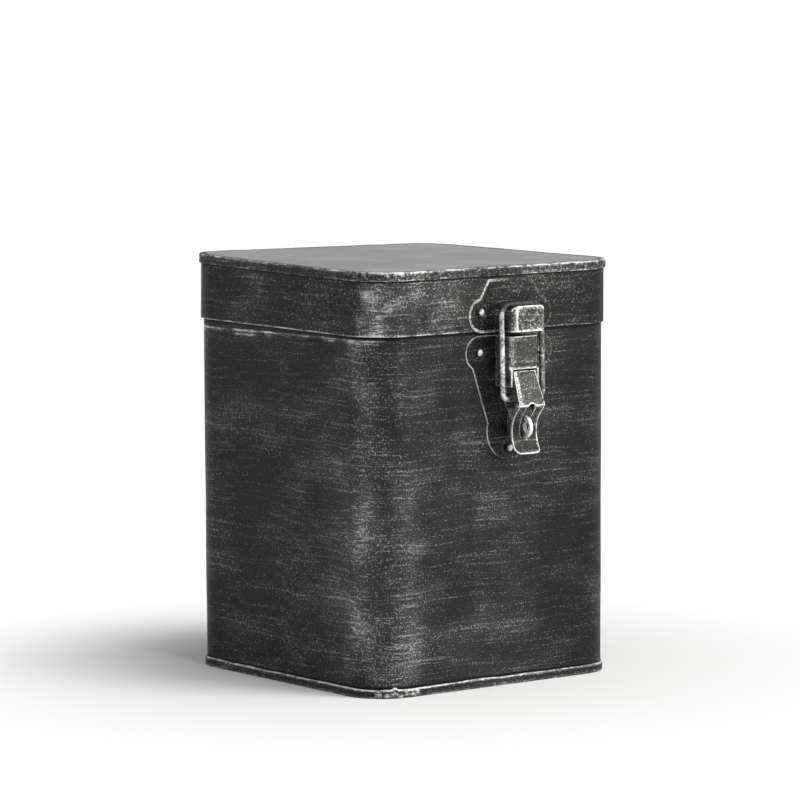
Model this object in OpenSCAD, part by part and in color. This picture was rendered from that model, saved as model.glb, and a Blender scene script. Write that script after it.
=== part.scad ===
// A small tin trunk: a square box of bent sheet with round upright corners, a cap
// lid on two riveted hinges, and a toggle latch with a padlock staple on the front.
// Sizes are millimetres. The origin is the middle of the bottom face, +Z is up,
// and the latch is on the -Y side.

/* [Box] */
// Width and depth of the body over its walls
box_w = 150; // [146:1:156]
// Height of the closed trunk
box_h = 202; // [196:1:210]
// Radius of the upright corners, outside the wall
corner_r = 20; // [18:1:23]
// Thickness of the sheet
sheet_t = 0.6; // [0.5:0.1:0.7]
// Height of the folded rim round the foot
foot_rim_h = 4.3; // [3.6:0.1:5]
// How far the foot rim stands out from the wall
foot_rim_out = 0.95; // [0.8:0.05:1.2]

/* [Lid] */
// Height of the lid, from its lower edge to the top of its rim
lid_h = 30.7; // [30:0.1:32]
// Clearance between the body's neck and the lid's skirt
lid_gap = 0.5; // [0.4:0.05:0.6]
// Height of the folded rim round the lid's top
lid_rim_h = 4.4; // [3.8:0.1:5]
// How far the lid's rim stands out from its skirt
lid_rim_out = 1; // [0.8:0.05:1.2]
// Height of the body's neck inside the closed lid
neck_h = 6.7; // [5:0.1:7]
// Depth of the folded hem along the neck's top edge
hem_h = 5; // [3:0.5:6]

/* [Latch plates] */
// How far the latch sits to the right of the front's middle
latch_x = 6; // [0:0.5:10]
// Thickness of the two riveted plates
plate_t = 0.9; // [0.8:0.1:1.1]
// Radius of the strike plate's ears
strike_ear_r = 8.3; // [7.8:0.1:8.6]
// Radius of the base plate's ears
base_ear_r = 8.4; // [8:0.1:8.8]
// Radius of the base plate's round foot
base_foot_r = 13.8; // [13:0.1:14.4]
// Radius of a rivet's head
rivet_head_r = 1.9; // [1.6:0.1:2.2]

/* [Latch] */
// Thickness of the pressed latch parts
press_t = 1; // [0.8:0.1:1.1]
// Diameter of the bail's wire
wire_d = 2.6; // [2.4:0.1:2.8]
// Spacing of the bail's legs, centre to centre
bail_w = 24.5; // [24:0.1:25.5]
// Width of the catch on the lid
catch_w = 19.4; // [18.6:0.1:19.8]
// Width of the bracket that carries the lever
bracket_w = 17; // [16.8:0.1:17.4]
// Width of the lever's thumb tab
tab_w = 15.3; // [14.6:0.1:15.5]
// Radius of the padlock eye
eye_r = 2.1; // [1.8:0.1:2.2]
// Thickness of the padlock staple
staple_t = 2; // [1.6:0.1:2.4]

/* [Hinges] */
// Distance of each hinge's middle from the back's middle
hinge_x = 45; // [38:1:52]
// Length of a hinge along its pin
hinge_w = 26; // [22:1:30]
// Radius of the hinge's barrel
knuckle_r = 2; // [1.8:0.05:2.1]
// Radius of the hinge pin
hinge_pin_r = 0.9; // [0.8:0.05:1]

/* [Hidden] */
$fn = 64;

paint = [0.2, 0.2, 0.2];
plate_paint = [0.26, 0.26, 0.26];
press_paint = [0.36, 0.36, 0.36];
bare_steel = [0.62, 0.62, 0.62];

// Heights and offsets of the sheet work. An offset is measured outwards from the
// body's outer wall face.
half_w = box_w / 2;
straight_w = box_w - 2 * corner_r;
skirt_z = box_h - lid_h;
neck_z = skirt_z + neck_h;
skirt_out = lid_gap + sheet_t;
skirt_top_z = box_h - sheet_t;
lid_rim_z = box_h - lid_rim_h;
edge_round = 0.4;
seam_w = 5;

// Rivets: shank, flat tail behind the sheet and domed head.
rivet_shank_r = 1.1;
rivet_head_h = 1.1;
rivet_tail_r = 1.6;
rivet_tail_h = 0.7;

// The latch is drawn in its own frame: x to the right of its centre line, y up
// from the lid's lower edge, z outwards from the body's wall.
strike_face = skirt_out + plate_t;
strike_top_y = 24.7;
strike_top_half = 13.6;
strike_shoulder = [19.2, 15.2];
strike_foot_y = -0.7;
strike_ear_x = 17.2;
strike_ear_y = strike_foot_y + strike_ear_r;
strike_rivets_at = [[-18.4, 9.2], [18.4, 9.2]];

base_top_y = -2.1;
base_ear_x = 18.2;
base_ear_y = base_top_y - base_ear_r;
base_waist = [22.7, -17.1];
base_taper_foot = [12.9, -45.3];
base_foot_y = -48.3;
base_rivets_at = [[-18.4, -10.1], [18.4, -10.1], [0, -56.7]];

catch_front = 16;
catch_bevel = 1.9;
catch_seat_y = 10.1;
catch_lip_y = 12.4;
catch_lip_half = 7;
catch_lip_drop = 1.5;
catch_lugs_at = [2.5, 7.5];
bracket_front = 12.5;
bracket_bevel = 1.5;
bracket_top_y = -2.4;
bracket_face_foot_y = -18;
bracket_ear_foot_y = -26.3;
bracket_lugs_at = [-9, -19];
lug_h = 3;

// Pivots as [outwards, up]. The bail's pull passes 0.3 inside the lever's pin,
// which is what holds the closed latch shut.
lever_pivot = [11, -22.8];
bail_pivot = [10.7, -32.1];
lever_pin_r = 0.9;
pin_head_r = 1.6;
pin_head_h = 0.7;
running_gap = 0.05;

// Side view of the lever as [outwards, up]: a straight face from its top to the
// crease, then a thumb tab that curves in to a waist and out again.
lever_top = [12, -19];
lever_top_w = 13;
crease = [18.1, -35.1];
crease_w = 15.5;
tab_centre = [26.9, -48];
tab_r = 15;
tab_low = -43.4;
tab_high = 28.7;
tab_foot_y = -58.3;
tab_corner_r = 3;
lever_heel = [6.5, -34.3];
lever_back = [8.2, -19.8];
cheek_tip_angle = 21;
slot_w = 5.4;
slot_low_y = -49.2;
slot_high_y = -36.8;

bail_bar_y = 12.7;
bail_lean = 1.3;
bail_top_bend_r = 5;
bail_foot_bend_r = 3;
bail_tip_x = 5.8;
bail_shoulder_r = 1.75;
bail_shoulder_x = 8.1;
bail_shoulder_w = 0.7;

staple_h = 11.2;
staple_y = -45.7;
staple_nose = 11.9;
staple_tenon_h = 8;
eye_out = 14.5;

// Hinges: the barrel stands clear behind the skirt, level with its lower edge.
hinge_y = half_w + 3.4;
leaf_t = 0.9;
leaf_h = 16;
knuckle_gap = 0.3;
knuckle_w = hinge_w / 3;
hinge_rivet_x = 8;
hinge_rivet_z = 10.5;
hinge_rivet_head_h = 0.8;
hinge_pin_head_r = 1.5;
hinge_pin_head_h = 0.6;

function reversed(points) = [for (i = [len(points) - 1 : -1 : 0]) points[i]];
function unit(v) = v / norm(v);
function right_of(v) = [v[1], -v[0]];
function arc(centre, r, a0, a1, steps) =
  [for (i = [0 : steps]) let (a = a0 + (a1 - a0) * i / steps)
    [centre[0] - r * cos(a), centre[1] + r * sin(a)]];

// Plan of the box with its round corners, grown outwards by an offset.
module plan(grow) {
  side = box_w + 2 * grow;
  square([side, straight_w], center = true);
  square([straight_w, side], center = true);
  for (x = [-1, 1], y = [-1, 1])
    translate([x * straight_w / 2, y * straight_w / 2]) circle(r = corner_r + grow);
}

module wall_ring(inner, outer, z0, z1) {
  translate([0, 0, z0]) linear_extrude(z1 - z0) difference() {
    plan(outer);
    plan(inner);
  }
}

// Carries a section drawn as [outwards, up] once round the box.
module round_the_box() {
  for (turn = [0 : 3]) rotate([0, 0, 90 * turn]) {
    translate([straight_w / 2, -half_w, 0]) rotate([90, 0, -90])
      linear_extrude(straight_w) children();
    translate([straight_w / 2, -straight_w / 2, 0]) rotate([0, 0, -90])
      rotate_extrude(angle = 90) translate([corner_r, 0]) children();
  }
}

// A folded strip in section, with its two outer edges rounded.
module fold(inner, outer, z0, z1) {
  translate([inner, z0]) square([outer - inner - edge_round, z1 - z0]);
  translate([inner, z0 + edge_round]) square([outer - inner, z1 - z0 - 2 * edge_round]);
  for (z = [z0 + edge_round, z1 - edge_round])
    translate([outer - edge_round, z]) circle(r = edge_round);
}

// A rivet along +z: tail below 0, shank up to the grip, then the domed head.
module rivet(grip, head_r, head_h) {
  dome_r = (head_r * head_r + head_h * head_h) / (2 * head_h);
  translate([0, 0, -rivet_tail_h]) cylinder(r = rivet_tail_r, h = rivet_tail_h);
  cylinder(r = rivet_shank_r, h = grip);
  translate([0, 0, grip]) rotate_extrude() intersection() {
    translate([0, head_h - dome_r]) circle(r = dome_r);
    square([head_r, head_h]);
  }
}

module on_front() {
  translate([latch_x, -half_w, skirt_z]) rotate([90, 0, 0]) children();
}

// Carries a side view drawn as [outwards, up] across the latch's width.
module across(width) {
  rotate([0, -90, 0]) linear_extrude(width, center = true) children();
}

module holes_at(places, r, depth) {
  for (place = places)
    translate([place[0], place[1], -depth]) cylinder(r = r, h = 2 * depth);
}

module lugs_at(places, x, z0, z1) {
  for (side = [-1, 1], y = places)
    translate([side * x - press_t / 2, y - lug_h / 2, z0]) cube([press_t, lug_h, z1 - z0]);
}

// Three sides of a folded housing with its two upright front corners cut off, from
// one height to another, drawn solid and set inwards by an inset.
module housing(width, back, front, bevel, inset, y0, y1) {
  half = width / 2 - inset;
  face = front - inset;
  cut = bevel - (2 - sqrt(2)) * inset;
  translate([0, y1, 0]) rotate([90, 0, 0]) linear_extrude(y1 - y0)
    polygon([[-half, back], [half, back], [half, face - cut], [half - cut, face],
      [cut - half, face], [-half, face - cut]]);
}

module staple_tenon(z0, z1) {
  translate([-staple_t / 2, staple_y - staple_tenon_h / 2, z0])
    cube([staple_t, staple_tenon_h, z1 - z0]);
}

module hinge_rivet_places(side, up) {
  for (x = [-hinge_rivet_x, hinge_rivet_x])
    translate([side * hinge_x + x, 0, skirt_z + up * hinge_rivet_z]) children();
}

// Floor with its edge turned up round the foot of the wall.
module bottom_panel() {
  color(paint) union() {
    linear_extrude(sheet_t) plan(0);
    round_the_box() fold(0, foot_rim_out, 0, foot_rim_h);
  }
}

// One sheet wrapped round, lapped inside the back and hemmed inwards at the top.
module body_wall() {
  color(paint) difference() {
    union() {
      wall_ring(-sheet_t, 0, sheet_t, neck_z);
      wall_ring(-2 * sheet_t, -sheet_t, neck_z - hem_h, neck_z);
      translate([-seam_w / 2, half_w - 2 * sheet_t, sheet_t])
        cube([seam_w, sheet_t, neck_z - hem_h - sheet_t]);
    }
    on_front() holes_at(base_rivets_at, rivet_shank_r, 3);
    for (side = [-1, 1]) hinge_rivet_places(side, -1)
      translate([0, half_w + 3, 0]) rotate([90, 0, 0]) cylinder(r = rivet_shank_r, h = 6);
  }
}

module base_plate_blank() {
  linear_extrude(plate_t) polygon([[-base_ear_x, base_top_y], [base_ear_x, base_top_y],
    base_waist, base_taper_foot,
    [-base_taper_foot[0], base_taper_foot[1]], [-base_waist[0], base_waist[1]]]);
  for (side = [-1, 1])
    translate([side * base_ear_x, base_ear_y]) cylinder(r = base_ear_r, h = plate_t);
  translate([0, base_foot_y]) cylinder(r = base_foot_r, h = plate_t);
}

// Plate riveted to the wall, with two ears above and a round foot below.
module latch_base_plate() {
  color(plate_paint) on_front() difference() {
    base_plate_blank();
    holes_at(base_rivets_at, rivet_shank_r, 3);
    lugs_at(bracket_lugs_at, (bracket_w - press_t) / 2, -1, plate_t + 1);
    staple_tenon(-1, plate_t + 1);
  }
}

// Pressed housing: a front, two cheeks that reach down as ears, and a closed top.
module latch_bracket() {
  color(press_paint) on_front() difference() {
    union() {
      difference() {
        housing(bracket_w, plate_t, bracket_front, bracket_bevel, 0, bracket_face_foot_y,
          bracket_top_y);
        housing(bracket_w, 0, bracket_front, bracket_bevel, press_t, bracket_face_foot_y - 1,
          bracket_top_y - press_t);
      }
      for (side = [-1, 1])
        translate([side * (bracket_w - press_t) / 2 - press_t / 2, bracket_ear_foot_y, plate_t])
          cube([press_t, bracket_face_foot_y - bracket_ear_foot_y, bracket_front - plate_t]);
      lugs_at(bracket_lugs_at, (bracket_w - press_t) / 2, 0, plate_t);
    }
    across(2 * bracket_w) translate(lever_pivot) circle(r = lever_pin_r);
  }
}

module latch_base_rivets() {
  color(bare_steel) on_front() for (place = base_rivets_at)
    translate([place[0], place[1], -sheet_t])
      rivet(sheet_t + plate_t, rivet_head_r, rivet_head_h);
}

// Upright blade through the lever's slot, with the eye for a padlock in its nose.
module padlock_staple() {
  color(press_paint) on_front() union() {
    across(staple_t) difference() {
      union() {
        translate([plate_t, staple_y - staple_h / 2])
          square([staple_nose - plate_t, staple_h]);
        translate([staple_nose, staple_y]) circle(r = staple_h / 2);
      }
      translate([eye_out, staple_y]) circle(r = eye_r);
    }
    staple_tenon(0, plate_t);
  }
}

module lever_pin() {
  color(bare_steel) on_front() union() {
    across(bracket_w) translate(lever_pivot) circle(r = lever_pin_r);
    for (side = [-1, 1]) translate([side * (bracket_w + pin_head_h) / 2, 0, 0])
      across(pin_head_h) translate(lever_pivot) circle(r = pin_head_r);
  }
}

// Hinge parts are drawn on the pin's axis, with y away from the box.
module at_hinge(side) {
  translate([side * hinge_x, hinge_y, skirt_z]) children();
}

module hinge_run(x0, x1) {
  translate([x0, 0, 0]) rotate([90, 0, 90]) linear_extrude(x1 - x0) children();
}

module body_leaf(side) {
  wall = half_w - hinge_y;
  color(plate_paint) difference() {
    at_hinge(side) union() {
      hinge_run(-hinge_w / 2, hinge_w / 2)
        translate([wall, -leaf_h]) square([leaf_t, leaf_h - 3.5]);
      for (end = [-1, 1]) {
        middle = end * knuckle_w;
        half = (knuckle_w - knuckle_gap) / 2;
        hinge_run(middle - half, middle + half) difference() {
          union() {
            polygon([[wall, -3.6], [wall + leaf_t, -3.6], [-0.4, -1.9], [-1.6, -1], [wall, -2.6]]);
            circle(r = knuckle_r);
          }
          circle(r = hinge_pin_r);
        }
      }
    }
    hinge_rivet_places(side, -1) translate([0, half_w + 3, 0])
      rotate([90, 0, 0]) cylinder(r = rivet_shank_r, h = 6);
  }
}

module left_hinge_body_leaf() { body_leaf(-1); }

module right_hinge_body_leaf() { body_leaf(1); }

module hinge_pin(side) {
  color(bare_steel) at_hinge(side) {
    hinge_run(-hinge_w / 2, hinge_w / 2) circle(r = hinge_pin_r);
    for (end = [-1, 1]) {
      middle = end * (hinge_w + hinge_pin_head_h) / 2;
      hinge_run(middle - hinge_pin_head_h / 2, middle + hinge_pin_head_h / 2)
        circle(r = hinge_pin_head_r);
    }
  }
}

module left_hinge_pin() { hinge_pin(-1); }

module right_hinge_pin() { hinge_pin(1); }

module hinge_body_rivets() {
  color(bare_steel) for (side = [-1, 1]) hinge_rivet_places(side, -1)
    translate([0, half_w - sheet_t, 0]) rotate([-90, 0, 0])
      rivet(sheet_t + leaf_t, rivet_head_r, hinge_rivet_head_h);
}

// The lid's side: a second wrapped sheet, lapped outside the back.
module lid_skirt() {
  seam_z = skirt_z + 1;
  color(paint) difference() {
    union() {
      wall_ring(lid_gap, skirt_out, skirt_z, skirt_top_z);
      translate([-seam_w / 2, half_w + skirt_out, seam_z])
        cube([seam_w, sheet_t, lid_rim_z - seam_z]);
    }
    on_front() holes_at(strike_rivets_at, rivet_shank_r, 4);
    for (side = [-1, 1]) hinge_rivet_places(side, 1)
      translate([0, half_w + 4, 0]) rotate([90, 0, 0]) cylinder(r = rivet_shank_r, h = 6);
  }
}

// Flat top on the skirt, with its edge folded down over the skirt.
module lid_top() {
  color(paint) union() {
    translate([0, 0, skirt_top_z]) linear_extrude(sheet_t) plan(skirt_out + lid_rim_out / 2);
    round_the_box() fold(skirt_out, skirt_out + lid_rim_out, lid_rim_z, box_h);
  }
}

module strike_plate() {
  color(plate_paint) on_front() difference() {
    translate([0, 0, skirt_out]) {
      linear_extrude(plate_t)
        polygon([[-strike_top_half, strike_top_y], [strike_top_half, strike_top_y],
          strike_shoulder, [strike_ear_x, strike_foot_y],
          [-strike_ear_x, strike_foot_y], [-strike_shoulder[0], strike_shoulder[1]]]);
      for (side = [-1, 1]) translate([side * strike_ear_x, strike_ear_y])
        cylinder(r = strike_ear_r, h = plate_t);
    }
    holes_at(strike_rivets_at, rivet_shank_r, 4);
    lugs_at(catch_lugs_at, (catch_w - press_t) / 2, 0, strike_face + 1);
  }
}

// Pressed cup on the strike plate. The bail's bar sits on its cheeks, behind its
// taller front, whose upper corners slope down so that the bail's bends pass over them.
module catch_hook() {
  half = catch_w / 2;
  color(press_paint) on_front() union() {
    difference() {
      housing(catch_w, strike_face, catch_front, catch_bevel, 0, 0, catch_lip_y);
      housing(catch_w, 0, catch_front, catch_bevel, press_t, press_t, catch_lip_y + 1);
      translate([-catch_w, catch_seat_y, 0]) cube([2 * catch_w, lug_h, catch_front - catch_bevel]);
      for (side = [0, 1]) mirror([side, 0, 0]) linear_extrude(2 * catch_front)
        polygon([[catch_lip_half, catch_lip_y], [half, catch_lip_y - catch_lip_drop],
          [half + 1, catch_lip_y - catch_lip_drop], [half + 1, catch_lip_y + 1],
          [catch_lip_half, catch_lip_y + 1]]);
    }
    lugs_at(catch_lugs_at, (catch_w - press_t) / 2, skirt_out, strike_face);
  }
}

module strike_rivets() {
  color(bare_steel) on_front() for (place = strike_rivets_at)
    translate([place[0], place[1], lid_gap])
      rivet(sheet_t + plate_t, rivet_head_r, rivet_head_h);
}

module lid_leaf(side) {
  skirt = half_w + skirt_out - hinge_y;
  half = (knuckle_w - knuckle_gap) / 2;
  notch = knuckle_r + 0.5;
  color(plate_paint) difference() {
    at_hinge(side) union() {
      hinge_run(-hinge_w / 2, hinge_w / 2)
        translate([skirt, notch]) square([leaf_t, leaf_h - notch]);
      hinge_run(-half, half) difference() {
        union() {
          translate([skirt, 0.6]) square([leaf_t + 0.4, notch - 0.6]);
          circle(r = knuckle_r);
        }
        circle(r = hinge_pin_r + running_gap);
      }
    }
    hinge_rivet_places(side, 1) translate([0, half_w + 4, 0])
      rotate([90, 0, 0]) cylinder(r = rivet_shank_r, h = 6);
  }
}

module left_hinge_lid_leaf() { lid_leaf(-1); }

module right_hinge_lid_leaf() { lid_leaf(1); }

module hinge_lid_rivets() {
  color(bare_steel) for (side = [-1, 1]) hinge_rivet_places(side, 1)
    translate([0, half_w + lid_gap, 0]) rotate([-90, 0, 0])
      rivet(sheet_t + leaf_t, rivet_head_r, hinge_rivet_head_h);
}

// Side view of the thumb tab: the curved front and the same curve one thickness
// behind it, joined at the crease.
module tab_side(crease_back) {
  front = arc(tab_centre, tab_r, tab_low, tab_high, 16);
  back = arc(tab_centre, tab_r + press_t, tab_low, tab_high, 16);
  polygon(concat(front, [crease, crease_back], reversed(back)));
}

// Cheek of the lever: behind the face and the upper part of the tab.
module cheek_side() {
  inside = arc(tab_centre, tab_r + press_t / 2, cheek_tip_angle, tab_high, 2);
  polygon(concat([lever_back, lever_top, crease], reversed(inside), [lever_heel]));
}

// Hollow of the channel, open behind and above.
module hollow_side(crease_back, top_back) {
  inside = arc(tab_centre, tab_r + press_t, 0, tab_high, 4);
  polygon(concat([top_back, crease_back], reversed(inside), [[0, tab_centre[1]], [0, 0]]));
}

// Front view of the lever with square corners, or of its hollow if made narrower.
module lever_front(narrower) {
  top_half = lever_top_w / 2 - narrower;
  crease_half = crease_w / 2 - narrower;
  tab_half = tab_w / 2 - narrower;
  right = [[top_half, lever_top[1] + 1], [crease_half, crease[1]],
    [tab_half, crease[1] - 8], [tab_half, tab_foot_y + tab_corner_r],
    [tab_half - tab_corner_r, tab_foot_y]];
  left = [for (point = reversed(right)) [-point[0], point[1]]];
  linear_extrude(2 * catch_front) polygon(concat(right, left));
}

module tab_corners() {
  for (side = [-1, 1])
    translate([side * (tab_w / 2 - tab_corner_r), tab_foot_y + tab_corner_r])
      cylinder(r = tab_corner_r, h = 2 * catch_front);
}

// Channel with two cheeks on the pin, and a curved thumb tab with a slot for the
// padlock staple.
module latch_lever() {
  face_out = right_of(unit(lever_top - crease));
  tab_top = arc(tab_centre, tab_r, tab_high, tab_high, 1)[0];
  tab_out = right_of(unit(crease - tab_top));
  crease_back = crease - press_t * (face_out + tab_out) / (1 + face_out * tab_out);
  top_back = lever_top - press_t * face_out + 4 * unit(lever_top - crease);
  color(press_paint) on_front() difference() {
    intersection() {
      union() {
        across(crease_w) tab_side(crease_back);
        difference() {
          across(crease_w) cheek_side();
          intersection() {
            across(2 * crease_w) hollow_side(crease_back, top_back);
            lever_front(press_t);
          }
        }
      }
      union() {
        lever_front(0);
        tab_corners();
      }
    }
    translate([0, 0, bail_pivot[0] - 2]) linear_extrude(catch_front) {
      for (y = [slot_low_y, slot_high_y]) translate([0, y]) circle(d = slot_w);
      translate([-slot_w / 2, slot_low_y]) square([slot_w, slot_high_y - slot_low_y]);
    }
    across(2 * crease_w) {
      translate(lever_pivot) circle(r = lever_pin_r + running_gap);
      translate(bail_pivot) circle(r = wire_d / 2 + running_gap);
    }
  }
}

// Wire bent into a loop: a bar across the top, two legs, and ends that turn in
// through the lever's cheeks, each with an upset shoulder.
module wire_bail() {
  wire_r = wire_d / 2;
  leg_x = bail_w / 2;
  color(bare_steel) on_front() translate([0, bail_pivot[1], bail_pivot[0]])
    rotate([-bail_lean, 0, 0]) translate([0, -bail_pivot[1], 0]) union() {
    translate([-(leg_x - bail_top_bend_r), bail_bar_y, 0]) rotate([0, 90, 0])
      cylinder(r = wire_r, h = 2 * (leg_x - bail_top_bend_r));
    for (side = [0, 1]) mirror([side, 0, 0]) {
      translate([leg_x - bail_top_bend_r, bail_bar_y - bail_top_bend_r, 0])
        rotate_extrude(angle = 90) translate([bail_top_bend_r, 0]) circle(r = wire_r);
      translate([leg_x, bail_pivot[1] + bail_foot_bend_r, 0]) rotate([-90, 0, 0])
        cylinder(r = wire_r,
          h = bail_bar_y - bail_top_bend_r - bail_pivot[1] - bail_foot_bend_r);
      translate([leg_x - bail_foot_bend_r, bail_pivot[1] + bail_foot_bend_r, 0])
        rotate([0, 0, -90]) rotate_extrude(angle = 90)
          translate([bail_foot_bend_r, 0]) circle(r = wire_r);
      translate([bail_tip_x, bail_pivot[1], 0]) rotate([0, 90, 0])
        cylinder(r = wire_r, h = leg_x - bail_foot_bend_r - bail_tip_x);
      translate([bail_shoulder_x, bail_pivot[1], 0]) rotate([0, 90, 0])
        cylinder(r = bail_shoulder_r, h = bail_shoulder_w);
    }
  }
}

bottom_panel();
body_wall();
latch_base_plate();
latch_bracket();
latch_base_rivets();
padlock_staple();
lever_pin();
left_hinge_body_leaf();
right_hinge_body_leaf();
left_hinge_pin();
right_hinge_pin();
hinge_body_rivets();
lid_skirt();
lid_top();
strike_plate();
catch_hook();
strike_rivets();
left_hinge_lid_leaf();
right_hinge_lid_leaf();
hinge_lid_rivets();
latch_lever();
wire_bail();
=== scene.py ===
from math import atan2, ceil, exp, pi, radians
import bmesh
import bpy
from mathutils import Euler, Matrix, Vector, noise


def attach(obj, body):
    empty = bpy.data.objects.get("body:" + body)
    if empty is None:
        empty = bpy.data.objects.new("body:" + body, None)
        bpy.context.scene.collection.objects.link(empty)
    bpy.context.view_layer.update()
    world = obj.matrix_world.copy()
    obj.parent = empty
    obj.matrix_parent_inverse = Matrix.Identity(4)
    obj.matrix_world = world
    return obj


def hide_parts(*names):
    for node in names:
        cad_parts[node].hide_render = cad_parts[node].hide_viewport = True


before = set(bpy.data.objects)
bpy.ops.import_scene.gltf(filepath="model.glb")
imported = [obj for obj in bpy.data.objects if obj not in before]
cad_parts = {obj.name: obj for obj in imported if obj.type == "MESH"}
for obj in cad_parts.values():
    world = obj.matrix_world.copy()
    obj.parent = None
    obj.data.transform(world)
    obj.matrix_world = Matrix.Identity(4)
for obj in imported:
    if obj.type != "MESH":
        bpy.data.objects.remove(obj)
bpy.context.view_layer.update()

# Studio. The trunk stands on a wide pale floor under soft light. The camera is where the
# photograph's was: 2.2 m away, left of the front and six degrees above, with a long lens.
camera_place = (-1.37331, -1.75442, 0.36317)
camera_down = 5.93
camera_heading = -38.03
camera_roll = -0.131
camera_data = bpy.data.cameras.new("camera")
camera_data.lens = 205.6
camera_data.sensor_width = 36
camera = bpy.data.objects.new("camera", camera_data)
camera_turn = Euler((radians(90 - camera_down), 0, radians(camera_heading))).to_matrix()
camera_turn = camera_turn @ Matrix.Rotation(radians(camera_roll), 3, "Z")
camera.matrix_world = Matrix.Translation(camera_place) @ camera_turn.to_4x4()
bpy.context.scene.collection.objects.link(camera)
bpy.context.scene.camera = camera
bpy.context.scene.view_settings.view_transform = "Standard"


def soft_box(name, place, width, height, watts, colour):
    """A rectangular lamp that faces the middle of the trunk."""
    lamp_data = bpy.data.lights.new(name, "AREA")
    lamp_data.shape = "RECTANGLE"
    lamp_data.size = width
    lamp_data.size_y = height
    lamp_data.energy = watts
    lamp_data.color = colour
    lamp = bpy.data.objects.new(name, lamp_data)
    trunk_middle = Vector((0, 0, 0.1))
    turn = (trunk_middle - Vector(place)).to_track_quat("-Z", "Y").to_matrix().to_4x4()
    lamp.matrix_world = Matrix.Translation(place) @ turn
    bpy.context.scene.collection.objects.link(lamp)


soft_box("lamp_above", (0.3, -1.2, 2.2), 1.4, 1.4, 33, (1, 1, 1))
soft_box("lamp_right", (1.25, -2.1, 1.0), 1.5, 1.6, 40, (1, 0.965, 0.93))
soft_box("lamp_left", (-2.2, 0.3, 0.9), 0.5, 1.4, 3, (0.95, 0.97, 1))


def add_node(tree, kind, **settings):
    """A new shader node with some of its settings."""
    made = tree.nodes.new(kind)
    for name, value in settings.items():
        setattr(made, name, value)
    return made


def feed(tree, socket, value):
    """Links an output into a socket, or sets the socket to a plain value."""
    if isinstance(value, bpy.types.NodeSocket):
        tree.links.new(value, socket)
    else:
        socket.default_value = value


def maths(tree, operation, first, second, clamp=False):
    """Output of a Math node."""
    made = add_node(tree, "ShaderNodeMath", operation=operation, use_clamp=clamp)
    feed(tree, made.inputs[0], first)
    feed(tree, made.inputs[1], second)
    return made.outputs[0]


def between(tree, value, low, high, start=0.0, end=1.0):
    """Smooth step: a value that runs from low to high becomes one from start to end."""
    made = add_node(tree, "ShaderNodeMapRange", interpolation_type="SMOOTHSTEP")
    feed(tree, made.inputs["Value"], value)
    feed(tree, made.inputs["From Min"], low)
    feed(tree, made.inputs["From Max"], high)
    feed(tree, made.inputs["To Min"], start)
    feed(tree, made.inputs["To Max"], end)
    return made.outputs["Result"]


def straight_or_mirrored(tree):
    """One for rays that show the backdrop: from the camera, off gloss or through glass."""
    path = add_node(tree, "ShaderNodeLightPath").outputs
    seen = maths(tree, "ADD", path["Is Camera Ray"], path["Is Glossy Ray"], True)
    return maths(tree, "ADD", seen, path["Is Transmission Ray"], True)


world = bpy.data.worlds.new("studio")
world.use_nodes = True
bpy.context.scene.world = world
air = world.node_tree
air.nodes.clear()
air_light = add_node(air, "ShaderNodeBackground")
air_light.inputs["Color"].default_value = (1, 1, 1, 1)
air_light.inputs["Strength"].default_value = 0.3
air_white = add_node(air, "ShaderNodeBackground")
air_white.inputs["Color"].default_value = (1, 1, 1, 1)
air_mix = add_node(air, "ShaderNodeMixShader")
feed(air, air_mix.inputs[0], straight_or_mirrored(air))
feed(air, air_mix.inputs[1], air_light.outputs[0])
feed(air, air_mix.inputs[2], air_white.outputs[0])
air_out = add_node(air, "ShaderNodeOutputWorld")
feed(air, air_out.inputs["Surface"], air_mix.outputs[0])

floor_paper = bpy.data.materials.new("floor_paper")
floor_paper.use_nodes = True
paper = floor_paper.node_tree
paper_shader = paper.nodes["Principled BSDF"]
paper_shader.inputs["Base Color"].default_value = (0.96, 0.96, 0.96, 1)
paper_shader.inputs["Roughness"].default_value = 0.9
paper_shader.inputs["Specular IOR Level"].default_value = 0.1
paper_place = add_node(paper, "ShaderNodeTexCoord").outputs["Object"]
paper_reach = add_node(paper, "ShaderNodeVectorMath", operation="LENGTH")
feed(paper, paper_reach.inputs[0], paper_place)
shaded_r = 0.1
white_r = 0.27
paper_far = between(paper, paper_reach.outputs["Value"], shaded_r, white_r)
paper_white = add_node(paper, "ShaderNodeEmission")
paper_white.inputs["Color"].default_value = (1, 1, 1, 1)
paper_mix = add_node(paper, "ShaderNodeMixShader")
feed(paper, paper_mix.inputs[0], maths(paper, "MULTIPLY", paper_far, straight_or_mirrored(paper)))
feed(paper, paper_mix.inputs[1], paper_shader.outputs[0])
feed(paper, paper_mix.inputs[2], paper_white.outputs[0])
feed(paper, paper.nodes["Material Output"].inputs["Surface"], paper_mix.outputs[0])
floor_mesh = bmesh.new()
bmesh.ops.create_grid(floor_mesh, x_segments=1, y_segments=1, size=30)
floor_data = bpy.data.meshes.new("studio_floor")
floor_mesh.to_mesh(floor_data)
floor_mesh.free()
floor_data.materials.append(floor_paper)
studio_floor = bpy.data.objects.new("studio_floor", floor_data)
bpy.context.scene.collection.objects.link(studio_floor)

# Floor of the trunk: a flat sheet whose edge is folded up round the foot of the wall and
# hammered flat against it. Charcoal paint, rubbed with silver, with lumps at the near corner
# and painted shade between the lumps.
box_half = 75
corner_r = 20
sheet_t = 0.6
foot_rim_h = 4.3


def clamped(value, low, high):
    """The value, held between low and high."""
    return max(low, min(high, value))


def plan_normal(point):
    """Outward direction of the wall at a point on it, seen from above."""
    inner = box_half - corner_r
    nearest = Vector((clamped(point.x, -inner, inner), clamped(point.y, -inner, inner), point.z))
    return (point - nearest).normalized()


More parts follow.
